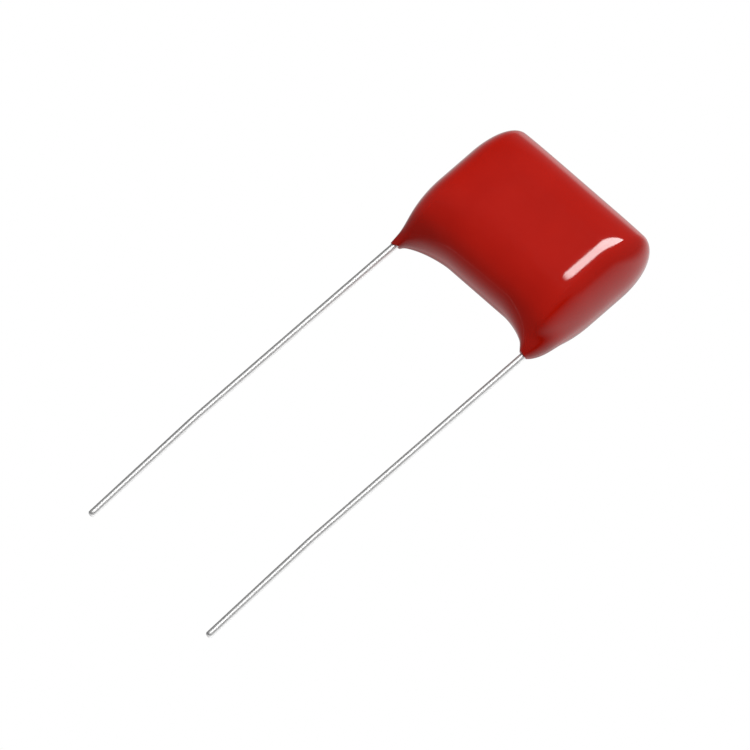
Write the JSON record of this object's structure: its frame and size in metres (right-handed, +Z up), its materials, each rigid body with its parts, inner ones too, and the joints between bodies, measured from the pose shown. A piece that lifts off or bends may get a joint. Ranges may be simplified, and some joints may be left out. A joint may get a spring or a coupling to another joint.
{
  "type": "dipped film capacitor",
  "caption": "Flat pillow-shaped epoxy-dipped capacitor with two long parallel round wires leaving its lower corners.",
  "frame": {"origin": "middle of the flat broad face that the capacitor lies on", "axes": "+X from the left wire to the right wire, +Y from the wires' tips to the top of the body, +Z up through the thickness"},
  "size_m": [0.0182, 0.0523, 0.0083],
  "materials": {
    "epoxy": "gloss",
    "wrap_film": "satin",
    "metallised_film": "satin",
    "sprayed_zinc": "matte",
    "weld_metal": "satin",
    "tinned_wire": "gloss"
  },
  "bodies": {
    "root": {"epoxy_coating": "epoxy", "outer_wrap": "wrap_film", "film_winding": "metallised_film", "end_spray_left": "sprayed_zinc", "end_spray_right": "sprayed_zinc", "weld_left": "weld_metal", "weld_right": "weld_metal", "lead_left": "tinned_wire", "lead_right": "tinned_wire"}
  },
  "joints": []
}
